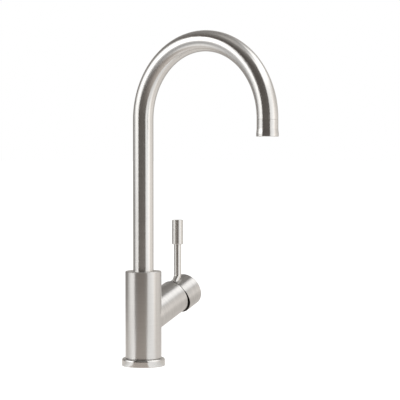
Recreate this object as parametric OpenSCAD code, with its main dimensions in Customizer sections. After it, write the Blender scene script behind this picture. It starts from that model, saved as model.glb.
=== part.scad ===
// Gooseneck bar faucet with a side lever on an upward-sloping branch.
// Millimetres. The origin is the centre of the foot ring's underside, on the deck.
// +Z is up, the spout reaches towards -Y, and the branch and lever point towards +X.

/* [Foot ring] */
// Outside diameter of the foot ring
foot_d = 46.6; // [44:0.2:56]
// Height of the foot ring
foot_h = 8.2; // [7:0.2:12]
// Radius of the ring's rounded top edge
foot_edge = 2.4; // [0.6:0.2:3]
// Thickness of the ledge that carries the column
foot_ledge = 2.4; // [2:0.1:4]
// Width of the flat gasket under the ring
gasket_w = 2.6; // [1.6:0.1:2.6]
// Thickness of the flat gasket
gasket_t = 1.5; // [1:0.1:1.8]

/* [Column] */
// Diameter of the column
column_d = 39; // [38:0.5:42]
// Height of the column's top above the deck
column_top = 102; // [98:1:125]
// Bevel round the column's top edge
column_bevel = 0.6; // [0.2:0.1:1.5]
// Step from the column's side in to its lower spigot
foot_step = 2; // [1.4:0.1:2.4]
// Height of the shadow gap between ring and column
shadow_gap = 0.3; // [0.2:0.1:2]
// Diameter of the hose cavity under the column
cavity_d = 31; // [28:0.5:31]
// Depth of the hose cavity, from the deck
cavity_h = 28; // [22:0.5:30]

/* [Inlets and fixing] */
// Diameter of each threaded hose inlet
inlet_d = 9; // [8:0.1:9.4]
// Depth of the thread in each hose inlet
inlet_thread = 12; // [8:0.5:13]
// Whole depth of each hose inlet
inlet_depth = 19; // [17:0.5:21]
// Distance between the hot and the cold inlet
inlet_pitch = 15; // [13:0.5:16]
// Diameter of the waterway from each inlet to the cartridge
port_d = 6; // [4:0.2:6.2]
// Diameter of the threaded hole for the fixing stud
stud_hole_d = 6.8; // [5:0.1:8.4]
// Depth of the fixing stud's hole
stud_hole_depth = 14; // [8:0.5:18]
// Distance of the fixing stud's hole from the column's axis
stud_offset = 10; // [9.6:0.1:10.8]

/* [Spout] */
// Outside diameter of the spout tube
tube_d = 22; // [20:0.5:24]
// Wall of the spout tube
tube_wall = 1.2; // [0.8:0.1:1.8]
// Height of the centre of the spout's bend
bend_z = 265; // [220:1:320]
// Radius of the spout's bend, at the tube's middle
bend_r = 81.6; // [60:0.2:110]
// Depth of the socket that the spout turns in
socket_depth = 28; // [27:0.5:30]
// Gap round the spout in its socket
socket_gap = 0.35; // [0.3:0.05:0.5]
// Wall of the turned spigot at the spout's lower end
spigot_wall = 4; // [3.4:0.1:5]
// Length of the spigot's neck inside the tube
neck_len = 14; // [8:1:30]
// Diameter of the grub screw that holds the spout in
grub_d = 5; // [4:0.5:5]

/* [Outlet] */
// Length of the aerator housing
aerator_len = 17.7; // [16:0.1:24]
// Wall of the aerator housing at its thread
aerator_wall = 1.25; // [1:0.05:1.6]
// How far the housing's lower rim flares beyond the tube
aerator_flare = 0.45; // [0:0.05:1]
// Height of the flared rim
aerator_rim = 3; // [2:0.5:6]
// Pitch of the outlet screen's square holes
screen_pitch = 2.2; // [1.8:0.1:3]
// Width of the wires between the screen's holes
screen_wire = 0.7; // [0.5:0.1:1]

/* [Branch] */
// Height where the branch's axis meets the column's axis
branch_z = 49.5; // [47.5:0.5:56]
// Slope of the branch above the horizontal, in degrees
branch_tilt = 21.3; // [17:0.1:25]
// Wall of the branch round the cartridge's pocket
branch_wall = 4.3; // [3.8:0.1:4.8]
// Distance of the branch's rim from the column's axis, along the branch
branch_len = 57.5; // [56:0.5:70]
// Diameter of the pocket that holds the cartridge
pocket_d = 28.4; // [27:0.2:29]
// Distance from the branch's rim to the ring nut inside it
nut_inset = 2.5; // [1.5:0.1:3.5]

/* [Cartridge] */
// Length of the cartridge, from its base to its lid
cartridge_len = 35; // [34:0.5:38]
// Thickness of the cartridge's base
base_t = 6; // [5:0.5:7]
// Thickness of each ceramic disc
disc_t = 3.5; // [3:0.1:4]
// Wall of the cartridge's shell
shell_wall = 1.4; // [1:0.1:1.6]
// Distance from the sliding disc's drive to the lever's pivot
stem_arm = 12; // [11:0.5:12.5]
// Side of the square stem
stem_w = 6; // [5:0.2:6.6]
// Diameter of the stem's pivot pin
pin_d = 3; // [2:0.2:3.4]
// Length of the ring nut that holds the cartridge in
nut_len = 6; // [4:0.5:7]
// Play between pieces that turn or slide on each other
play = 0.1; // [0.05:0.01:0.1]

/* [Handle cap] */
// Length of the cap along its top
cap_len = 24.7; // [21:0.1:30]
// How far the cap sits below the branch's axis
cap_drop = 2.7; // [2:0.1:3.2]
// Gap between the branch's rim and the cap, at the top
cap_gap = 0.8; // [0.6:0.1:2]
// Slant of the cap's rim, which widens the gap towards the bottom, in degrees
cap_slant = 5.6; // [3:0.2:8]
// Wall of the cap
cap_wall = 2.2; // [1.6:0.1:2.4]
// Radius of the cap's outer edge
cap_edge = 1.6; // [0.4:0.1:3]
// Diameter of the boss inside the cap
boss_d = 16; // [15:0.5:16.5]

/* [Lever] */
// Diameter of the lever's rod
rod_d = 8; // [6:0.2:9]
// Height of the lever's tip above the cap
lever_h = 66.2; // [50:0.2:110]
// Distance from the cap's rim to the middle of the rod's foot
rod_inset = 9; // [8:0.2:11]
// Angle of the bend at the rod's foot, in degrees
rod_bend = 34; // [15:1:38]
// Radius of that bend, at the rod's middle
rod_bend_r = 6; // [5:0.5:12]
// Length of the rod between the cap and the bend
rod_foot = 2.5; // [1:0.1:5]
// How much the radius of the rod's foot is smaller than the rod's
shank_step = 0.2; // [0.1:0.05:1]
// Depth of the rod's seat in the cap
rod_seat = 6; // [4:0.1:6.4]
// Diameter of the grip
grip_d = 12; // [9.4:0.2:16]
// Length of the grip
grip_len = 27; // [18:0.5:46]
// Radius of the grip's edges
grip_edge = 0.8; // [0.2:0.1:2]

/* [Hidden] */
$fn = 96;
tilt_max = 20;  // how far the lever draws out, in degrees
fit = 0.05;     // gap round a piece pressed or screwed into another
skin = 1;       // how far a cut runs past the face that it opens
ceramic = "ivory";
plastic = "whitesmoke";
steel = [0.74, 0.72, 0.70];
brass = [0.80, 0.68, 0.42];
rubber = [0.10, 0.10, 0.10];

// Foot ring and column
foot_r = foot_d / 2;
gasket_inset = 1.6;   // from the ring's side to the gasket
gasket_r = foot_r - gasket_inset;
column_r = column_d / 2;
cavity_r = cavity_d / 2;
spigot_r = column_r - foot_step;
column_low = foot_h + shadow_gap;
thread_depth = 0.5;   // of the hose inlets
grub_inset = 1;       // how far a grub screw lies below the face around it
hex_depth = 3;        // of a grub screw's socket

// Spout socket, and the grooves along the spout's spigot
tube_r = tube_d / 2;
tube_bore = tube_r - tube_wall;
socket_r = tube_r + socket_gap;
socket_z = column_top - socket_depth;
thrust_t = 1;
tube_sink = 1;        // how far the tube's end lies below the column's top
shoulder_z = column_top - tube_sink;
spigot_z = socket_z + thrust_t + 2 * fit;
spigot_bore = tube_r - spigot_wall;
ring_r = socket_r - fit;
ring_w = 3;
groove_depth = 1.4;
groove_r = tube_r - groove_depth;
oring_d = ring_r - groove_r;
oring_slack = 0.2;
oring_inset = 3;      // from the spigot's lower end to the first O-ring
oring_space = 3.8;    // from the glide ring to the second O-ring
glide_inset = 1.6;    // from the tube's end to the glide ring
glide_z = shoulder_z - ring_w - glide_inset;
oring_z = [spigot_z + oring_inset, glide_z - oring_space];
grub_z = (oring_z[0] + oring_z[1]) / 2;
grub_floor = 1.8;     // wall of the spigot behind the grub screw's groove
grub_groove_r = spigot_bore + grub_floor;
grub_slack = 0.4;

// Outlet: nipple, washer, insert, screen and housing
outlet_y = -2 * bend_r;
seam_drop = 0.5;      // how far the tube runs straight below the bend
seam_z = bend_z - seam_drop;
outlet_z = seam_z - aerator_len;
thread_r = tube_r - aerator_wall;
nipple_r = tube_bore - 2 * fit;
nipple_wall = 2.2;
nipple_bore = nipple_r - nipple_wall;
nipple_rise = 3;      // how far the nipple reaches into the bend
nipple_share = 0.55;  // part of the housing's length that the nipple takes
nipple_top = bend_z + nipple_rise;
nipple_low = seam_z - nipple_share * aerator_len;
washer_t = 1.2;
washer_lip = 1;       // how far the washer covers the nipple's bore
lip_w = 1;
lip_r = thread_r - lip_w;
lip_t = 0.6;
rim_bevel = 0.5;
seam_bevel = 0.3;
flare_len = 5;        // length over which the housing narrows above its rim
screen_t = 0.8;
screen_z = outlet_z + lip_t;
screen_hole = screen_pitch - screen_wire;
screen_edge = 0.6 * screen_pitch;
screen_cells = ceil(lip_r / screen_pitch);
insert_z = screen_z + screen_t;
insert_top = nipple_low - washer_t;
insert_wall = 1.2;
insert_holes = 12;
insert_hole_d = 1.4;

// Branch and pocket, in distances along the branch's axis
branch_d = pocket_d + 2 * branch_wall;
branch_r = branch_d / 2;
pocket_r = pocket_d / 2;
lid_end = branch_len - nut_inset - nut_len;
pocket_floor = lid_end - cartridge_len;
nut_seat = 2;         // how far the nut's recess runs past the cartridge's lid
nut_step = 1.7;       // how far the nut is wider than the cartridge's pocket
nut_cover = 4.6;      // how far the nut covers the cartridge's lid
nut_r = pocket_r + nut_step;
nut_bore = pocket_r - nut_cover;

// Waterways in the column: how far each lies below the branch's axis, and where it turns
port_low = 5;
port_high = -7;
outlet_port_d = 7;
inlet_x = 2;
riser_d = 10;
riser_wall = 2;       // between the riser and the pocket
riser_x = along_x(pocket_floor, pocket_r) - riser_wall - riser_d / 2;

// Cartridge, in distances along the branch's axis
shell_gap = 0.2;
shell_r = pocket_r - shell_gap;
chamber_r = shell_r - shell_wall;
seal_t = 1.6;
seal_d = port_d + 2 * seal_t;
port_step = 1.4;      // how much the cartridge's ports are narrower than the column's
port_bore = port_d - port_step;
base_end = pocket_floor + base_t;
fixed_end = base_end + disc_t;
moving_end = fixed_end + disc_t;
lid_t = 3;
pin_inset = 1.5;      // from the lid to the pivot pin
pivot_a = lid_end - lid_t - pin_d / 2 - pin_inset;
drive_a = pivot_a - stem_arm;
carrier_rise = 2;     // how far the carrier reaches past the ball's middle
carrier_base = 1.2;
carrier_end = drive_a + carrier_rise;
carrier_floor = moving_end + carrier_base;
carrier_gap = 1;      // between carrier and spindle
spindle_start = carrier_end + carrier_gap;
spindle_end = lid_end - lid_t - play;
spindle_r = chamber_r - play;
neck_gap = 1;         // between the spindle's neck and the nut
neck_r = nut_bore - neck_gap;
slot_play = 0.3;
slot_half = stem_w / 2 + 2 * slot_play + (pivot_a - spindle_start) * sin(tilt_max);
disc_travel = stem_arm * tilt_max * PI / 180;
disc_play = 0.4;      // left beside the moving disc at either end of its travel
moving_r = chamber_r - disc_travel / 2 - disc_play;
mixing_wall = 3;      // rim round the moving disc's pocket
ball_d = 4.4;
ball_play = 0.4;
leg_low_r = 0.3 * ball_d;
leg_high_r = 0.4 * stem_w;

// Handle cap, in distances along the branch's axis
cap_r = branch_r;
cap_start = branch_len + cap_gap;
cap_end = cap_start + cap_len;
cap_top = cap_r - cap_drop;
boss_r = boss_d / 2;
boss_inset = 4.4;     // from the cap's rim to its boss
boss_start = cap_start + boss_inset;
boss_wall = 2;
hub_r = boss_r - boss_wall;
hub_out = 1.4;        // how far the hub stands out of the boss
hub_floor = 1;        // left of the boss behind the hub
hub_start = boss_start - hub_out;
hub_end = cap_end - cap_wall - hub_floor;
stem_gap = 2;         // from the stem's end to the hub's
stem_end = hub_end - stem_gap;
cap_grub_a = (boss_start + cap_end - cap_wall) / 2;
cap_grub_d = 4;
cap_grub_len = 5;
cap_hex_depth = 2;

// Lever, in the plane of the branch and the column
rod_r = rod_d / 2;
shank_r = rod_r - shank_step;
rod_a = cap_start + rod_inset;
rod_foot_x = along_x(rod_a, cap_top);
rod_foot_z = along_z(rod_a, cap_top);
bend_low_x = rod_foot_x + rod_foot * sin(rod_bend);
bend_low_z = rod_foot_z + rod_foot * cos(rod_bend);
lever_x = bend_low_x + rod_bend_r * (1 - cos(rod_bend));
rod_straight_z = bend_low_z + rod_bend_r * sin(rod_bend);
lever_top = rod_foot_z + lever_h;
grip_z = lever_top - grip_len;
grip_r = grip_d / 2;

// Place in the XZ plane of a point given along the branch and square to it, upwards
function along_x(a, up) = a * cos(branch_tilt) - up * sin(branch_tilt);
function along_z(a, up) = branch_z + a * sin(branch_tilt) + up * cos(branch_tilt);

// Puts children on the branch's axis: local Z runs outwards along it, local X points down
module on_branch(a = 0)
    translate([0, 0, branch_z]) rotate([0, 90 - branch_tilt, 0]) translate([0, 0, a]) children();

// Puts children on the line of the rod's foot, with local Z pointing out of the cap
module on_rod_foot()
    translate([rod_foot_x, 0, rod_foot_z]) rotate([0, rod_bend, 0]) children();

// Puts children at the middle of the spout's bend, in a frame whose X is +Y and whose Y is +Z
module at_bend()
    translate([0, -bend_r, bend_z]) rotate([90, 0, 90]) children();

// A tube from z = low to z = high
module pipe(outer_r, inner_r, low, high)
    translate([0, 0, low]) difference() {
        cylinder(r = outer_r, h = high - low);
        translate([0, 0, -skin]) cylinder(r = inner_r, h = high - low + 2 * skin);
    }

// A ring of round section
module oring(middle_r, section_d)
    rotate_extrude() translate([middle_r, 0]) circle(d = section_d, $fn = 24);

// A bar with rounded edges at both ends
module rounded_bar(r, h, edge)
    rotate_extrude() {
        square([r - edge, h]);
        translate([0, edge]) square([r, h - 2 * edge]);
        for (y = [edge, h - edge]) translate([r - edge, y]) circle(r = edge, $fn = 48);
    }

module foot_ring() color(steel)
    difference() {
        rotate_extrude() {
            square([foot_r - foot_edge, foot_h]);
            square([foot_r, foot_h - foot_edge]);
            translate([foot_r - foot_edge, foot_h - foot_edge]) circle(r = foot_edge);
        }
        translate([0, 0, -skin]) cylinder(r = cavity_r, h = foot_h + 2 * skin);
        translate([0, 0, foot_ledge]) cylinder(r = spigot_r + fit, h = foot_h);
        gasket_groove();
    }

module gasket_groove()
    pipe(gasket_r + fit, gasket_r - gasket_w - fit, -skin, gasket_t);

module foot_gasket() color(rubber)
    pipe(gasket_r, gasket_r - gasket_w, 0, gasket_t);

// The column with its spigot, hose cavity, inlets, waterways, cartridge pocket and spout socket
module body_column() color(steel)
    difference() {
        rotate_extrude() polygon([
            [0, foot_ledge],
            [spigot_r, foot_ledge],
            [spigot_r, column_low],
            [column_r, column_low],
            [column_r, column_top - column_bevel],
            [column_r - column_bevel, column_top],
            [0, column_top]
        ]);
        cylinder(r = cavity_r, h = cavity_h);
        translate([0, 0, socket_z]) cylinder(r = socket_r, h = socket_depth + skin);
        on_branch(pocket_floor) cylinder(r = pocket_r, h = branch_len);
        waterways();
        inlets();
        translate([-stud_offset, 0, cavity_h - skin])
            cylinder(d = stud_hole_d, h = stud_hole_depth + skin);
        grub_hole();
    }

// Hose inlets: a threaded mouth and a narrower bore behind it
module inlets()
    for (side = [-1, 1]) translate([inlet_x, side * inlet_pitch / 2, cavity_h - skin]) {
        cylinder(d = inlet_d, h = inlet_thread + skin);
        cylinder(d = inlet_d - 2 * thread_depth, h = inlet_depth + skin);
    }

// Slanting ports behind the pocket's floor: two inlets below, and one outlet with its riser above
module waterways() {
    inlet_a = port_reach(inlet_x, port_low);
    riser_a = port_reach(riser_x, port_high);
    riser_z = along_z(riser_a, -port_high);
    for (side = [-1, 1])
        on_branch(inlet_a) translate([port_low, side * inlet_pitch / 2, 0])
            cylinder(d = port_d, h = pocket_floor - inlet_a + skin);
    on_branch(riser_a) translate([port_high, 0, 0])
        cylinder(d = outlet_port_d, h = pocket_floor - riser_a + skin);
    translate([riser_x, 0, riser_z]) cylinder(d = riser_d, h = socket_z + skin - riser_z);
}

// Distance along the branch at which a line lying `down` below its axis passes over x
function port_reach(x, down) = (x - down * sin(branch_tilt)) / cos(branch_tilt);

module grub_hole()
    translate([0, 0, grub_z]) rotate([-90, 0, 0]) cylinder(d = grub_d, h = column_r + skin);

// The branch: a tube cut to the column's round side
module side_housing() color(steel)
    difference() {
        on_branch() cylinder(r = branch_r, h = branch_len);
        cylinder(r = column_r, h = column_top);
        on_branch() cylinder(r = pocket_r, h = branch_len + skin);
        on_branch(lid_end - nut_seat) cylinder(r = nut_r, h = branch_len);
    }

module spout_tube() color(steel) {
    pipe(tube_r, tube_bore, shoulder_z, bend_z);
    at_bend() rotate_extrude(angle = 180) translate([bend_r, 0]) difference() {
        circle(r = tube_r);
        circle(r = tube_bore);
    }
    translate([0, outlet_y, 0]) pipe(tube_r, tube_bore, seam_z, bend_z);
}

// The turned end that sits in the column's socket, with grooves for the rings and the grub screw
module spout_spigot() color(brass)
    difference() {
        union() {
            translate([0, 0, spigot_z]) cylinder(r = tube_r, h = shoulder_z - spigot_z);
            translate([0, 0, shoulder_z]) cylinder(r = tube_bore - fit, h = neck_len);
        }
        translate([0, 0, spigot_z - skin]) cylinder(r = spigot_bore, h = neck_len + socket_depth + skin);
        for (z = oring_z)
            pipe(tube_r + skin, groove_r, z - oring_d / 2 - oring_slack, z + oring_d / 2 + oring_slack);
        pipe(tube_r + skin, groove_r, glide_z - fit, glide_z + ring_w + fit);
        pipe(tube_r + skin, grub_groove_r, grub_z - grub_d / 2 - grub_slack, grub_z + grub_d / 2 + grub_slack);
    }

module spout_orings() color(rubber)
    for (z = oring_z) translate([0, 0, z]) oring((ring_r + groove_r) / 2, oring_d);

module spout_glide_rings() color(plastic) {
    pipe(ring_r, spigot_bore, socket_z + fit, socket_z + fit + thrust_t);
    pipe(ring_r, groove_r + fit, glide_z, glide_z + ring_w);
}

module spout_grub_screw() color(steel)
    translate([0, 0, grub_z]) rotate([-90, 0, 0]) difference() {
        translate([0, 0, grub_groove_r + grub_slack])
            cylinder(d = grub_d - 2 * fit, h = column_r - grub_inset - grub_groove_r - grub_slack);
        translate([0, 0, column_r - hex_depth]) cylinder(d = grub_d / 2, h = hex_depth, $fn = 6);
    }

module outlet_nipple() color(brass)
    translate([0, outlet_y, 0]) {
        pipe(nipple_r, nipple_bore, seam_z, nipple_top);
        pipe(thread_r - fit, nipple_bore, nipple_low, seam_z);
    }

module aerator_washer() color(rubber)
    translate([0, outlet_y, 0]) pipe(thread_r - fit, nipple_bore - washer_lip, insert_top, nipple_low);

// Cup with a ring of drilled holes in its upper plate
module aerator_insert() color(plastic)
    translate([0, outlet_y, 0]) difference() {
        translate([0, 0, insert_z]) cylinder(r = thread_r - fit, h = insert_top - insert_z);
        translate([0, 0, insert_z - skin])
            cylinder(r = thread_r - insert_wall, h = insert_top - insert_z - insert_wall + skin);
        for (i = [1:insert_holes]) rotate(i * 360 / insert_holes)
            translate([thread_r / 2, 0, insert_z]) cylinder(d = insert_hole_d, h = aerator_len, $fn = 16);
    }

// Round plate with a grid of square holes
module aerator_screen() color(steel)
    translate([0, outlet_y, screen_z]) difference() {
        cylinder(r = thread_r - fit, h = screen_t);
        for (x = [-screen_cells:screen_cells], y = [-screen_cells:screen_cells])
            if (norm([x, y]) * screen_pitch < lip_r - screen_edge)
                translate([x * screen_pitch - screen_hole / 2, y * screen_pitch - screen_hole / 2, -skin])
                    cube([screen_hole, screen_hole, screen_t + 2 * skin]);
    }

// Threaded sleeve with a flared rim and an inner lip that carries the screen
module aerator_housing() color(steel)
    translate([0, outlet_y, outlet_z]) rotate_extrude() difference() {
        polygon([
            [lip_r, 0],
            [tube_r + aerator_flare - rim_bevel, 0],
            [tube_r + aerator_flare, rim_bevel],
            [tube_r + aerator_flare, aerator_rim],
            [tube_r, aerator_rim + flare_len],
            [tube_r, aerator_len - seam_bevel],
            [tube_r - seam_bevel, aerator_len],
            [lip_r, aerator_len]
        ]);
        translate([0, lip_t]) square([thread_r, aerator_len]);
    }

// Cartridge shell: the lid is open for the turning spindle
module cartridge_shell() color(plastic)
    on_branch() difference() {
        translate([0, 0, base_end]) cylinder(r = shell_r, h = lid_end - base_end);
        translate([0, 0, base_end - skin])
            cylinder(r = chamber_r, h = lid_end - lid_t - base_end + skin);
        cylinder(r = neck_r + play, h = lid_end + skin);
    }

// Puts children at the two inlets and the outlet on the cartridge's base
module at_ports() {
    for (side = [-1, 1]) translate([port_low, side * inlet_pitch / 2, 0]) children();
    translate([port_high, 0, 0]) children();
}

module cartridge_base() color(plastic)
    on_branch(pocket_floor) difference() {
        cylinder(r = shell_r, h = base_t);
        at_ports() translate([0, 0, -skin]) cylinder(d = port_bore, h = base_t + 2 * skin);
        at_ports() translate([0, 0, -skin]) cylinder(d = seal_d + 2 * fit, h = seal_t + skin);
    }

module port_seals() color(rubber)
    on_branch(pocket_floor) at_ports() pipe(seal_d / 2, seal_d / 2 - seal_t, 0, seal_t);

module fixed_disc() color(ceramic)
    on_branch(base_end) difference() {
        cylinder(r = chamber_r - play, h = disc_t);
        at_ports() translate([0, 0, -skin]) cylinder(d = port_bore, h = disc_t + 2 * skin);
    }

// Puts children on the sliding disc's axis, which starts low in the chamber
module on_slide(a = 0)
    on_branch(a) translate([disc_travel / 2, 0, 0]) children();

// Ceramic disc with a mixing pocket in its lower face
module moving_disc() color(ceramic)
    on_slide(fixed_end + fit) difference() {
        cylinder(r = moving_r, h = disc_t - fit);
        translate([0, 0, -skin]) cylinder(r = moving_r - mixing_wall, h = skin + disc_t / 2);
    }

// Plastic slide on the disc, bored on the branch's axis for the stem's ball
module disc_carrier() color(plastic)
    difference() {
        on_slide(moving_end) cylinder(r = moving_r, h = carrier_end - moving_end);
        on_branch(carrier_floor) cylinder(d = ball_d + 2 * ball_play, h = carrier_end);
    }

// Turning spindle with a slot that lets the stem tilt
module spindle() color(plastic)
    on_branch() difference() {
        union() {
            translate([0, 0, spindle_start]) cylinder(r = spindle_r, h = spindle_end - spindle_start);
            translate([0, 0, spindle_end - skin]) cylinder(r = neck_r, h = lid_end + 2 * skin - spindle_end);
        }
        translate([-slot_half, -stem_w / 2 - slot_play, spindle_start - skin])
            cube([2 * slot_half, stem_w + 2 * slot_play, branch_len]);
        pivot_bar(pin_d + 2 * fit, spindle_r + skin);
    }

module pivot_pin() color(steel)
    on_branch() pivot_bar(pin_d, spindle_r - skin);

// Bar of a given half length along the lever's tilting axis
module pivot_bar(d, half)
    translate([0, 0, pivot_a]) rotate([90, 0, 0]) cylinder(d = d, h = 2 * half, center = true);

// Ball at the disc, eye at the pin and square drive in the cap
module stem() color(brass)
    on_branch() difference() {
        union() {
            translate([0, 0, drive_a]) rotate_extrude() intersection() {
                translate([0, -ball_d]) square([stem_w, ball_d + stem_arm]);
                union() {
                    circle(d = ball_d);
                    polygon([[0, 0], [leg_low_r, 0], [leg_high_r, stem_arm], [0, stem_arm]]);
                }
            }
            translate([-stem_w / 2, -stem_w / 2, pivot_a - stem_w / 2])
                cube([stem_w, stem_w, stem_end - pivot_a + stem_w / 2]);
        }
        pivot_bar(pin_d + play, stem_w);
    }

module ring_nut() color(brass)
    on_branch(lid_end) pipe(nut_r - fit, nut_bore, 0, nut_len);

// Everything on the outer side of the cap's slanting rim
module beyond_slant()
    on_branch(cap_start) translate([-cap_top, 0, 0]) rotate([0, -cap_slant, 0])
        translate([-branch_d, -branch_d, 0]) cube([4 * branch_d, 2 * branch_d, 2 * branch_d]);

module on_cap_axis(a = 0)
    on_branch(a) translate([cap_drop, 0, 0]) children();

// Round cap, open towards the branch, with an inner boss for the hub and a hole for the rod
module handle_cap() color(steel)
    difference() {
        union() {
            intersection() {
                difference() {
                    on_cap_axis(cap_start) rotate_extrude() {
                        square([cap_r - cap_edge, cap_len]);
                        square([cap_r, cap_len - cap_edge]);
                        translate([cap_r - cap_edge, cap_len - cap_edge]) circle(r = cap_edge);
                    }
                    on_cap_axis(cap_start - skin) cylinder(r = cap_r - cap_wall, h = cap_len - cap_wall + skin);
                }
                beyond_slant();
            }
            on_branch(boss_start) cylinder(r = boss_r, h = cap_end - cap_wall / 2 - boss_start);
        }
        on_branch(boss_start - skin) cylinder(r = hub_r + fit, h = hub_end - boss_start + skin + fit);
        on_rod_foot() translate([0, 0, -rod_seat]) cylinder(r = shank_r + fit, h = 3 * rod_seat);
        cap_grub_hole();
    }

// Radial hole through the cap's underside and its boss, for the grub screw that grips the hub
module cap_grub_hole()
    on_branch(cap_grub_a) rotate([0, 90, 0]) translate([0, 0, hub_r - skin])
        cylinder(d = cap_grub_d, h = cap_r + cap_drop);

// Square-holed hub between the stem and the cap's boss
module cap_hub() color(brass)
    on_branch() difference() {
        translate([0, 0, hub_start]) cylinder(r = hub_r, h = hub_end - hub_start);
        translate([-stem_w / 2 - fit, -stem_w / 2 - fit, hub_start - skin])
            cube([stem_w + 2 * fit, stem_w + 2 * fit, stem_end - hub_start + skin + fit]);
    }

module cap_grub_screw() color(steel)
    on_branch(cap_grub_a) rotate([0, 90, 0]) translate([0, 0, hub_r + fit]) difference() {
        cylinder(d = cap_grub_d - 2 * fit, h = cap_grub_len);
        translate([0, 0, cap_grub_len - cap_hex_depth])
            cylinder(d = cap_grub_d / 2, h = cap_hex_depth + skin, $fn = 6);
    }

// Rod with a slanting foot that is turned down to fit the cap, a bend and a straight run into the grip
module lever_rod() color(steel) {
    on_rod_foot() translate([0, 0, fit - rod_seat]) cylinder(r = shank_r, h = rod_seat + rod_foot + skin - fit);
    translate([lever_x - rod_bend_r, 0, rod_straight_z]) rotate([-90, 0, 0])
        rotate_extrude(angle = rod_bend) translate([rod_bend_r, 0]) circle(r = rod_r);
    translate([lever_x, 0, rod_straight_z]) cylinder(r = rod_r, h = grip_z + grip_len / 2 - rod_straight_z);
}

module lever_grip() color(steel)
    translate([lever_x, 0, grip_z]) difference() {
        rounded_bar(grip_r, grip_len, grip_edge);
        translate([0, 0, -skin]) cylinder(r = rod_r + fit, h = grip_len / 2 + skin + fit);
    }

foot_ring();
foot_gasket();
body_column();
side_housing();
spout_tube();
spout_spigot();
spout_orings();
spout_glide_rings();
spout_grub_screw();
outlet_nipple();
aerator_washer();
aerator_insert();
aerator_screen();
aerator_housing();
cartridge_shell();
cartridge_base();
port_seals();
fixed_disc();
moving_disc();
disc_carrier();
spindle();
pivot_pin();
stem();
ring_nut();
handle_cap();
cap_hub();
cap_grub_screw();
lever_rod();
lever_grip();
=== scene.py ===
import math
import bpy
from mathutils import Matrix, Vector


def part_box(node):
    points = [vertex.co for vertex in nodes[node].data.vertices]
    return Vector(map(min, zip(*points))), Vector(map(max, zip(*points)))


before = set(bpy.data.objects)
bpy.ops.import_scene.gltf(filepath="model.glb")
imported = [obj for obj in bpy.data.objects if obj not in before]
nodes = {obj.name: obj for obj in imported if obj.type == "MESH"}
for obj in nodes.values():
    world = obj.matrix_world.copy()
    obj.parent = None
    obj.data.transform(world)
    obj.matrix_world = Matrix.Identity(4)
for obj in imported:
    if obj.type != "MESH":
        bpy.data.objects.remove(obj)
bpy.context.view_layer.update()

# ---------------------------------------------------------------- Camera
# The photo is a product shot through a long lens. The camera stands 1.74 m off, in front of the
# faucet and to its left, and looks down by about two degrees.
looks_down, looks_towards = 2.212, 37.527
camera_data = bpy.data.cameras.new("camera")
camera_data.sensor_width = 36
camera_data.lens = 145.39
camera = bpy.data.objects.new("camera", camera_data)
bpy.context.scene.collection.objects.link(camera)
camera.location = (-1.3413, -1.1072, 0.2458)
camera.rotation_euler = (math.radians(90 - looks_down), 0, math.radians(looks_towards - 90))
bpy.context.scene.camera = camera
bpy.context.scene.view_settings.view_transform = "Standard"

# ---------------------------------------------------------------- Foot gasket
# A flat ring cut from black EPDM rubber sheet. It lies in a groove under the foot ring and keeps
# water out of the hole in the deck.


def colour(code, share=1):
    """sRGB hex to the linear colour that a shader takes, or a darker share of it."""
    parts = [int(code[i:i + 2], 16) / 255 for i in (1, 3, 5)]
    return [share * (c / 12.92 if c < 0.04045 else ((c + 0.055) / 1.055) ** 2.4)
            for c in parts] + [1.0]


def add_node(tree, kind, inputs=None, **settings):
    """A shader node with its settings. Each input is a value, or the socket that feeds it."""
    node = tree.nodes.new(kind)
    for name, value in settings.items():
        setattr(node, name, value)
    for name, value in (inputs or {}).items():
        if isinstance(value, bpy.types.NodeSocket):
            tree.links.new(value, node.inputs[name])
        else:
            node.inputs[name].default_value = value
    return node


def finish(name, **values):
    """A new material, with the plain values of its shader. Gives its node tree and shader too."""
    material = bpy.data.materials.new(name)
    material.use_nodes = True
    tree = material.node_tree
    shader = tree.nodes["Principled BSDF"]
    for socket, value in values.items():
        shader.inputs[socket].default_value = value
    return material, tree, shader


def feed_shader(tree, shader, outputs):
    """Links outputs of nodes to the shader's sockets of these names."""
    for socket, output in outputs.items():
        tree.links.new(output, shader.inputs[socket])


def coat_nodes(material, *names):
    """Gives CAD nodes this material."""
    for name in names:
        for slot in nodes[name].material_slots:
            slot.material = material


# EPDM rubber, cut from calendered sheet: nearly black and dull, with pimples about a millimetre
# apart and a grey bloom in patches of a centimetre.
noise = "ShaderNodeTexNoise"
rubber, tree, shader = finish("epdm_rubber", Roughness=0.62)
place = add_node(tree, "ShaderNodeTexCoord").outputs["Object"]
pimples = add_node(tree, noise, {"Vector": place, "Scale": 900.0, "Detail": 2.0}).outputs["Fac"]
bloom = add_node(tree, noise, {"Vector": place, "Scale": 90.0, "Detail": 3.0}).outputs["Fac"]
shade = add_node(tree, "ShaderNodeValToRGB", {"Fac": bloom})
dark, light = shade.color_ramp.elements
dark.color, light.color = colour("#17181A"), colour("#2A2B2D")
skin = add_node(tree, "ShaderNodeBump", {"Height": pimples, "Strength": 0.3, "Distance": 0.0001})
feed_shader(tree, shader, {"Base Color": shade.outputs["Color"], "Normal": skin.outputs["Normal"]})
coat_nodes(rubber, "foot_gasket")

# ---------------------------------------------------------------- Foot ring
# Turned from stainless bar, with a rounded top edge. The column stands in it, and a thin dark
# line is left between the two.
foot_middle, upright = (0, 0, 0), (0, 0, 1)
brushed_steel = "#DAD8D5"
# painted shade: the dark colour put in bores and beyond rims, where shade would fall
painted_shade_tone = "#35322F"
brush_spread = 0.88
number_math, vector_math = "ShaderNodeMath", "ShaderNodeVectorMath"


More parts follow.
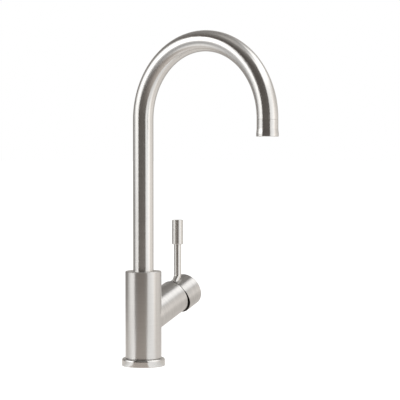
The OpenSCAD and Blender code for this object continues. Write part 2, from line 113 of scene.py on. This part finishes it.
def turned_metal(name, middle, axis, tint, roughness, bore_radius=0, bore_end=1, rim=1, grain=0.12):
    """Metal brushed on a lathe: fine lines run round the axis and spread a reflection across them.
    Two places get a painted shade, a dark colour in place of shade. One is within the bore's
    radius, up to its end along the axis. The other is the broken edge beyond the rim, at a gap."""
    material, tree, shader = finish(name, Metallic=1.0, Anisotropic=brush_spread)
    place = add_node(tree, "ShaderNodeTexCoord").outputs["Object"]
    off = add_node(tree, vector_math, {0: place, 1: middle}, operation="SUBTRACT").outputs[0]
    along = add_node(tree, vector_math, {0: off, 1: axis}, operation="DOT_PRODUCT").outputs["Value"]
    on_axis = add_node(tree, vector_math, {0: axis, "Scale": along}, operation="SCALE").outputs[0]
    radial = add_node(tree, vector_math, {0: off, 1: on_axis}, operation="SUBTRACT").outputs[0]
    radius = add_node(tree, vector_math, {0: radial}, operation="LENGTH").outputs["Value"]
    outwards = add_node(tree, vector_math, {0: radial}, operation="NORMALIZE").outputs[0]
    # the lathe's feed: the same lines run along a side and outwards over an end face
    feed = add_node(tree, number_math, {0: along, 1: radius}, operation="ADD").outputs[0]
    # a line fades after about a radian round the axis
    turn = add_node(tree, vector_math, {0: outwards, "Scale": 0.9}, operation="SCALE").outputs[0]

    def lines(pitch, detail):
        """Brush lines of that pitch in metres, long round the axis and thin along it."""
        step = add_node(tree, number_math, {0: feed, 1: 1 / pitch}, operation="MULTIPLY").outputs[0]
        run = add_node(tree, vector_math, {0: axis, "Scale": step}, operation="SCALE").outputs[0]
        where = add_node(tree, vector_math, {0: turn, 1: run}, operation="ADD").outputs[0]
        scratches = {"Vector": where, "Scale": 1.0, "Detail": detail, "Roughness": 0.6}
        return add_node(tree, noise, scratches).outputs["Fac"]

    # real grit lines lie about 0.1 mm apart; these are as coarse as they need to be to show at a
    # pixel per millimetre
    fine, coarse = lines(0.0004, 2.0), lines(0.0021, 3.0)
    both = add_node(tree, "ShaderNodeMix", {"Factor": 0.5, "A": fine, "B": coarse},
                    data_type="FLOAT").outputs["Result"]
    shade = add_node(tree, "ShaderNodeValToRGB", {"Fac": both})
    dark, light = shade.color_ramp.elements
    dark.position, light.position = 0.38, 0.62
    dark.color, light.color = colour(tint, 1 - 0.45 * grain), colour(tint)
    bump = add_node(tree, "ShaderNodeBump",
                    {"Height": both, "Strength": grain, "Distance": 0.00002})

    # hands and cloths leave patches of about 2 cm a little duller and others a little brighter
    wear = 0.01
    cloud = add_node(tree, noise, {"Vector": place, "Scale": 45.0, "Detail": 3.0}).outputs["Fac"]
    handled = add_node(tree, "ShaderNodeMapRange", {
        "Value": cloud, "From Min": 0.3, "From Max": 0.7,
        "To Min": roughness - wear, "To Max": roughness + wear}).outputs["Result"]
    rough = add_node(tree, number_math, {0: both, 1: 0.08, 2: handled}, operation="MULTIPLY_ADD")

    # 1 where shade is painted in with a dark colour, and 0 where the surface is brushed
    within = add_node(tree, number_math, {0: radius, 1: bore_radius}, operation="LESS_THAN")
    before = add_node(tree, number_math, {0: along, 1: bore_end}, operation="LESS_THAN")
    beyond = add_node(tree, number_math, {0: along, 1: rim}, operation="GREATER_THAN")
    painted_shade_mask = add_node(tree, number_math,
                   {0: within.outputs[0], 1: before.outputs[0], 2: beyond.outputs[0]},
                   operation="MULTIPLY_ADD", use_clamp=True).outputs[0]
    # the brushed colour, with the painted shade mixed in
    with_painted_shade = add_node(tree, "ShaderNodeMixRGB", {
        "Fac": painted_shade_mask, "Color1": shade.outputs["Color"], "Color2": colour(painted_shade_tone)})

    # a reflection spreads square to the lines: along a side, or outwards over an end face
    around = add_node(tree, vector_math, {0: axis, 1: outwards}, operation="CROSS_PRODUCT")
    normal = add_node(tree, "ShaderNodeNewGeometry").outputs["Normal"]
    across = add_node(tree, vector_math, {0: normal, 1: around.outputs[0]},
                      operation="CROSS_PRODUCT")
    feed_shader(tree, shader, {"Base Color": with_painted_shade.outputs[0], "Roughness": rough.outputs[0],
                               "Normal": bump.outputs["Normal"], "Tangent": across.outputs[0]})
    return material


# a fine finishing cut: the ring mirrors the table more sharply than the column does
foot_steel = turned_metal("brushed_stainless_foot", foot_middle, upright, brushed_steel, 0.15)
coat_nodes(foot_steel, "foot_ring")

# ---------------------------------------------------------------- Column
# A solid stainless column, turned and brushed on the lathe and bored for the waterways. The
# threads of the two hose inlets and of the fixing stud are open to the cavity below.
# brushed with a medium grit: soft upright bands of light and dark, with faint level lines
column_steel = turned_metal("brushed_stainless_column", foot_middle, upright, brushed_steel, 0.26)
coat_nodes(column_steel, "body_column")

# ---------------------------------------------------------------- Branch
# A short tube of stainless steel, cut to a saddle, welded to the column and brushed round its
# own axis. It slopes upwards at 21.3 degrees.
slope = math.radians(21.3)
branch_axis = (math.cos(slope), 0, math.sin(slope))
branch_foot = (0, 0, 0.0495)
# what lies under this radius, 0.3 mm less than the outside, is a bore or an end face, and gets a
# painted shade
under_the_side = 0.0182
# beyond this distance along the axis, the branch's edge at the gap to the cap gets a painted shade
branch_rim = 0.0568
# brushed by hand after welding: the same soft bands, but lines that show more
branch_steel = turned_metal("brushed_stainless_branch", branch_foot, branch_axis, brushed_steel,
                            0.26, bore_radius=under_the_side, rim=branch_rim, grain=0.36)
coat_nodes(branch_steel, "side_housing")

# ---------------------------------------------------------------- Cartridge
# A ceramic-disc cartridge: two discs of ground alumina, a white acetal base and shell, a grey
# spindle that turns with the handle, and a brass stem on a steel pin. A brass nut holds it in.


def moulded(name, tint, roughness, ior=1.48):
    """Moulded plastic or pressed ceramic: an even colour with a faint grain from the mould."""
    material, tree, shader = finish(name, Roughness=roughness, IOR=ior)
    place = add_node(tree, "ShaderNodeTexCoord").outputs["Object"]
    # the colour clouds over 17 mm, and the grain is 0.6 mm wide
    cloud = add_node(tree, noise, {"Vector": place, "Scale": 60.0, "Detail": 3.0}).outputs["Fac"]
    grain = add_node(tree, noise, {"Vector": place, "Scale": 1600.0, "Detail": 1.0}).outputs["Fac"]
    shade = add_node(tree, "ShaderNodeValToRGB", {"Fac": cloud})
    dark, light = shade.color_ramp.elements
    dark.color, light.color = colour(tint, 0.92), colour(tint)
    bump = add_node(tree, "ShaderNodeBump", {"Height": grain, "Strength": 0.2, "Distance": 0.00005})
    feed_shader(tree, shader, {"Base Color": shade.outputs["Color"],
                               "Normal": bump.outputs["Normal"]})
    return material


# acetal is milky and half glossy; ground alumina is whiter, harder and glossier
white_acetal = moulded("white_acetal", "#E9E8E3", 0.38)
coat_nodes(white_acetal, "cartridge_shell", "cartridge_base")
coat_nodes(moulded("grey_acetal", "#9A9C9E", 0.42), "spindle", "disc_carrier")
coat_nodes(moulded("ground_alumina", "#F0EEE9", 0.2, ior=1.76), "fixed_disc", "moving_disc")
coat_nodes(rubber, "port_seals")
brass = "#C9A661"
# brass, turned and left bare: warm yellow, with the tool's rings in its reflections
machined_brass = turned_metal("machined_brass", branch_foot, branch_axis, brass, 0.24)
coat_nodes(machined_brass, "stem", "ring_nut")
# steel rod, ground between wheels: a cooler grey, and nearly a mirror
pin_steel = turned_metal("ground_steel_pin", branch_foot, (0, 1, 0), "#CFCFCE", 0.15)
coat_nodes(pin_steel, "pivot_pin")

# ---------------------------------------------------------------- Spout
# One length of 22 mm stainless tube, bent over a round former and brushed round its girth, finer
# than the column, so that its reflections have crisper edges. It turns in the column on a brass
# spigot with rubber rings and acetal glide rings, and a grub screw at the rear holds it in.
bend_radius = 0.0816
bend_middle = (0, -bend_radius, 0.265)
tube_colour = "#E3E1DE"
# the lines are drawn 1.8 mm apart and 25 mm long, as coarse as they need to be to show
line_pitch, line_length = 0.0018, 0.025
tube_steel, tree, shader = finish("satin_stainless_tube", Metallic=1.0, Anisotropic=brush_spread)
place = add_node(tree, "ShaderNodeTexCoord").outputs["Object"]
off = add_node(tree, vector_math, {0: place, 1: bend_middle}, operation="SUBTRACT").outputs[0]
parts = add_node(tree, "ShaderNodeSeparateXYZ", {"Vector": off}).outputs
# below the bend the tube runs straight down, so the lines stay level there
height = add_node(tree, number_math, {0: parts["Z"], 1: 0.0}, operation="MAXIMUM").outputs[0]
spoke = add_node(tree, "ShaderNodeCombineXYZ", {"Y": parts["Y"], "Z": height}).outputs[0]
run = add_node(tree, vector_math, {0: spoke, 1: (1, 0, 0)}, operation="CROSS_PRODUCT").outputs[0]
along = add_node(tree, vector_math, {0: run}, operation="NORMALIZE").outputs[0]
# distance along the tube: the angle round the bend, and the drop below it
angle = add_node(tree, number_math, {0: height, 1: parts["Y"]}, operation="ARCTAN2").outputs[0]
arc = add_node(tree, number_math, {0: angle, 1: bend_radius}, operation="MULTIPLY").outputs[0]
drop = add_node(tree, number_math, {0: parts["Z"], 1: 0.0}, operation="MINIMUM").outputs[0]
length = add_node(tree, number_math, {0: arc, 1: drop}, operation="SUBTRACT").outputs[0]
step = add_node(tree, number_math, {0: length, 1: 1 / line_pitch}, operation="MULTIPLY").outputs[0]
side = add_node(tree, number_math, {0: parts["X"], 1: 1 / line_length},
                operation="MULTIPLY").outputs[0]
where = add_node(tree, "ShaderNodeCombineXYZ", {"X": side, "Z": step}).outputs[0]
scratches = {"Vector": where, "Scale": 1.0, "Detail": 3.0, "Roughness": 0.65}
lines = add_node(tree, noise, scratches).outputs["Fac"]
shade = add_node(tree, "ShaderNodeValToRGB", {"Fac": lines})
dark, light = shade.color_ramp.elements
dark.position, light.position = 0.3, 0.7
dark.color, light.color = colour(tube_colour, 0.96), colour(tube_colour)
rough = add_node(tree, "ShaderNodeMapRange", {
    "Value": lines, "From Min": 0.2, "From Max": 0.8, "To Min": 0.22, "To Max": 0.26})
bump = add_node(tree, "ShaderNodeBump", {"Height": lines, "Strength": 0.15, "Distance": 0.00002})
feed_shader(tree, shader, {"Base Color": shade.outputs["Color"], "Normal": bump.outputs["Normal"],
                           "Roughness": rough.outputs["Result"], "Tangent": along})
coat_nodes(tube_steel, "spout_tube")
coat_nodes(turned_metal("turned_brass_spout", foot_middle, upright, brass, 0.24), "spout_spigot")
coat_nodes(rubber, "spout_orings")
coat_nodes(white_acetal, "spout_glide_rings")
coat_nodes(pin_steel, "spout_grub_screw")

# ---------------------------------------------------------------- Outlet
# A turned sleeve screwed on the tube's end, level with it at a fine seam and a little flared at
# its lip. It holds a pierced steel screen and a white insert that mixes air into the water.
outlet_middle = (0, -2 * bend_radius, 0)
satin_steel = "#DDDBD8"
# turned, then rubbed with a fine grit: brighter than the column, with tighter reflections
sleeve_steel = turned_metal("satin_stainless_outlet", outlet_middle, upright, satin_steel, 0.18)
coat_nodes(sleeve_steel, "aerator_housing")
# sheet, pierced and left as it was rolled: greyer and duller than the sleeve
screen_steel = turned_metal("pierced_stainless", outlet_middle, upright, "#C8C6C3", 0.3)
coat_nodes(screen_steel, "aerator_screen")
nipple_brass = turned_metal("turned_brass_outlet", outlet_middle, upright, brass, 0.24)
coat_nodes(nipple_brass, "outlet_nipple")
coat_nodes(white_acetal, "aerator_insert")
coat_nodes(rubber, "aerator_washer")

# ---------------------------------------------------------------- Handle cap
# A deep cup turned from stainless bar and brushed round its axis. Its rim is cut at a slant, so
# that the gap to the branch opens downwards and the lever can tilt. A brass hub joins it to the
# stem, and a grub screw in its underside holds it.
sits_lower = 0.0027
cap_middle = (sits_lower * math.sin(slope), 0, branch_foot[2] - sits_lower * math.cos(slope))
cap_end_face = 0.081
# brushed like the branch, so that the two look like one tube while the lever is closed
# inside the cup, short of its end face, the colour gets a painted shade
cap_steel = turned_metal("brushed_stainless_cap", cap_middle, branch_axis, brushed_steel,
                         0.26, bore_radius=under_the_side, bore_end=cap_end_face, grain=0.4)
coat_nodes(cap_steel, "handle_cap")
coat_nodes(machined_brass, "cap_hub")
coat_nodes(pin_steel, "cap_grub_screw")

# ---------------------------------------------------------------- Lever
# An 8 mm stainless rod, bent at its foot, which is turned down to fit the cap. Its upper end
# runs into a thicker turned grip.
grip_low, grip_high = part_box("lever_grip")
lever_middle = ((grip_low.x + grip_high.x) / 2, 0, 0)
# both are rubbed with a fine grit: thin bright streaks up the rod, softer ones on the grip
rod_steel = turned_metal("satin_stainless_rod", lever_middle, upright, satin_steel, 0.17)
coat_nodes(rod_steel, "lever_rod")
grip_steel = turned_metal("brushed_stainless_grip", lever_middle, upright, satin_steel, 0.22)
coat_nodes(grip_steel, "lever_grip")

# ---------------------------------------------------------------- Studio
# A white table and a white surround, lit by two softboxes. Steel shows what stands round it, so
# diffuser sheets, cards and cloths hang all round, bright and dark by turns, as when metal is
# photographed. Only reflections see them.
faucet_middle = Vector((0, -0.05, 0.17))


def lamp(name, azimuth, elevation, distance, width, height, level):
    """A softbox that faces the faucet. level is how bright its face is, where 1 is white."""
    data = bpy.data.lights.new(name, "AREA")
    data.shape = "RECTANGLE"
    data.size, data.size_y = width, height
    data.energy = level * math.pi * width * height
    box = bpy.data.objects.new(name, data)
    bpy.context.scene.collection.objects.link(box)
    a, e = math.radians(azimuth), math.radians(elevation)
    way = Vector((math.cos(a) * math.cos(e), math.sin(a) * math.cos(e), math.sin(e)))
    box.location = faucet_middle + way * distance
    box.rotation_euler = way.to_track_quat("Z", "Y").to_euler()
    box.visible_camera = box.visible_glossy = False


lamp("softbox_left", azimuth=133, elevation=17, distance=2.6, width=2.2, height=1.9, level=1.3)
lamp("softbox_right", azimuth=292, elevation=30, distance=2.6, width=4.0, height=3.0, level=1.25)
white, warm_white, warm_grey = "#FFFFFF", "#FFFAF5", "#FFF4EB"


def cloth(name, start, sweep, profile, first, last, tint=white):
    """A cloth or sheet swept round the faucet from an azimuth, in degrees. It looks as bright as
    first where it starts and as last where it ends, and 1 is white. Each point of its profile
    has a distance, a height and the share of that brightness."""
    mesh = bpy.data.meshes.new(name)
    steps, n = 24, len(profile)
    turns = [math.radians(start + sweep * i / steps) for i in range(steps + 1)]
    verts = [(r * math.cos(a), r * math.sin(a), z) for a in turns for r, z, share in profile]
    faces = [(i * n + j, i * n + j + 1, (i + 1) * n + j + 1, (i + 1) * n + j)
             for i in range(steps) for j in range(n - 1)]
    mesh.from_pydata(verts, [], faces)
    shade = mesh.attributes.new("shade", "FLOAT", "POINT")
    for i in range(len(verts)):
        shade.data[i].value = (first + (last - first) * (i // n) / steps) * profile[i % n][2]
    drape = bpy.data.objects.new(name, mesh)
    bpy.context.scene.collection.objects.link(drape)
    material = bpy.data.materials.new(name)
    material.use_nodes = True
    tree = material.node_tree
    tree.nodes.clear()
    level = add_node(tree, "ShaderNodeAttribute", attribute_name="shade").outputs["Fac"]
    glow = add_node(tree, "ShaderNodeEmission", {"Color": colour(tint), "Strength": level})
    add_node(tree, "ShaderNodeOutputMaterial", {"Surface": glow.outputs[0]})
    mesh.materials.append(material)
    for kind in ("camera", "diffuse", "transmission", "shadow"):
        setattr(drape, "visible_" + kind, False)


# on the table: a pale sheet right across, and three cards close round the foot
on_table = [(0.0235, 0.0002, 1), (2.9, 0.001, 1)]
cloth("sheet_on_table", 0, 360, on_table, 0.78, 0.78, warm_white)
by_foot = [(0.0235, 0.0006, 1), (0.16, 0.002, 1)]
cloth("white_card_left", 138, 37, by_foot, 0.7, 1.3)
cloth("grey_card_front", 175, 61, by_foot, 0.6, 0.62, warm_grey)
cloth("white_card_right", 236, 60, by_foot, 1.15, 0.8)

# on the camera's side: the dark stripe down the middle of every round piece. Near the foot the
# cloth glows brighter, a painted pool of light on the table round the faucet
dark_side = [(0.16, 0.004, 4.4), (0.33, 0.004, 3), (0.6, 0.004, 1.5), (0.95, 0.004, 1),
             (2.9, 0.004, 1), (2.9, 0.7, 0.9), (2.9, 2, 0.7), (1.5, 2.6, 1)]
cloth("black_cloth_camera_side", 162, 83, dark_side, 0.12, 0.15, warm_grey)

# on the left: the narrow bright stripe, and the dark one inside the arch
left_high = [(2.85, 2.3, 1), (1.5, 2.6, 1)]
left_side = [(0.35, 0.003, 0.8), (0.6, 0.003, 0.5), (0.95, 0.003, 0.3), (2.85, 0.003, 0.37),
             (2.85, 0.3, 0.58), (2.85, 0.6, 1.18), (2.85, 2.3, 1.18)]
cloth("diffuser_left_outer", 99, 37, left_side, 0.62, 1.95)
cloth("diffuser_left_inner", 136, 26, left_side, 1.95, 1.65)
cloth("black_cloth_left_high", 99, 63, left_high, 0.18, 0.14, warm_grey)

# on the right: the broad pale side of every round piece
right_low = [(0.16, 0.003, 0.66), (0.4, 0.003, 0.7), (1.2, 0.003, 0.88), (2.85, 0.003, 0.98),
             (2.85, 0.7, 0.85), (2.85, 1.6, 0.75)]
right_outer = [(0.16, 0.003, 0.91), (0.4, 0.003, 0.95), (1.2, 0.003, 1.13), (2.85, 0.003, 1.23),
               (2.85, 0.7, 0.85), (2.85, 1.6, 0.75)]
right_high = [(2.85, 1.6, 0.5), (2.85, 2.1, 0.75), (2.2, 2.35, 1), (1.3, 2.66, 1),
              (1.05, 2.74, 0.25), (0.02, 2.9, 0.16)]
cloth("diffuser_right_inner", 245, 45, right_low, 1.05, 1.55)
cloth("diffuser_right_middle", 290, 24, right_low, 1.55, 0.9, warm_white)
cloth("diffuser_right_outer", 314, 36, right_outer, 0.9, 0.72, warm_white)
cloth("diffuser_right_high", 250, 100, right_high, 1.68, 1.68)

# behind and overhead: grey cloths, which draw the edges of the steel against the white
behind = [(0.4, 0.002, 1.1), (1.0, 0.002, 1), (2.85, 0.002, 1), (2.85, 1, 1.2), (2.85, 2, 0.9),
          (1.5, 2.6, 0.65)]
cloth("grey_cloth_behind", 350, 109, behind, 0.58, 0.22, warm_white)
overhead = [(1.5, 2.6, 0.8), (0.95, 2.72, 0.9), (0.6, 2.8, 2), (0.02, 2.9, 2.1)]
cloth("grey_cloth_overhead", 350, 260, overhead, 0.26, 0.26, warm_white)


def plainly_seen(tree):
    """1 for what the camera sees, straight or by a reflection or through glass, and 0 for light."""
    rays = add_node(tree, "ShaderNodeLightPath").outputs
    seen = add_node(tree, number_math, {0: rays["Is Camera Ray"], 1: rays["Is Glossy Ray"]},
                    operation="ADD").outputs[0]
    return add_node(tree, number_math, {0: seen, 1: rays["Is Transmission Ray"]},
                    operation="ADD", use_clamp=True).outputs[0]


# the table: matt white. The camera sees a share of that, with the faucet's shadow on it, over a
# glow that brings it to the white of the surround wherever nothing shades it
table_glow, glow_share = 0.62, 0.55
bpy.ops.object.select_all(action="DESELECT")
bpy.ops.mesh.primitive_circle_add(vertices=96, radius=15, fill_type="NGON", location=(0, 0, 0))
table = bpy.context.object
table.name = "white_table"
table_white = bpy.data.materials.new("white_table")
table_white.use_nodes = True
tree = table_white.node_tree
tree.nodes.clear()
matt = add_node(tree, "ShaderNodeBsdfDiffuse", {"Color": colour("#EDECEA")}).outputs[0]
glow = add_node(tree, "ShaderNodeEmission",
                {"Color": colour(white), "Strength": table_glow}).outputs[0]
half = add_node(tree, "ShaderNodeMixShader", {"Fac": glow_share, 1: matt, 2: glow}).outputs[0]
lifted = add_node(tree, "ShaderNodeAddShader", {0: half, 1: glow}).outputs[0]
mix = add_node(tree, "ShaderNodeMixShader", {"Fac": plainly_seen(tree), 1: matt, 2: lifted})
add_node(tree, "ShaderNodeOutputMaterial", {"Surface": mix.outputs[0]})
table.data.materials.append(table_white)

# the surround: white to the camera and in the metal, and a plain fill for everything else
fill_level = 0.35
world = bpy.data.worlds.new("surround")
world.use_nodes = True
bpy.context.scene.world = world
tree = world.node_tree
tree.nodes.clear()
level = add_node(tree, "ShaderNodeMapRange", {
    "Value": plainly_seen(tree), "To Min": fill_level, "To Max": 1.0}).outputs["Result"]
sky = add_node(tree, "ShaderNodeBackground", {"Color": colour(white), "Strength": level})
add_node(tree, "ShaderNodeOutputWorld", {"Surface": sky.outputs[0]})
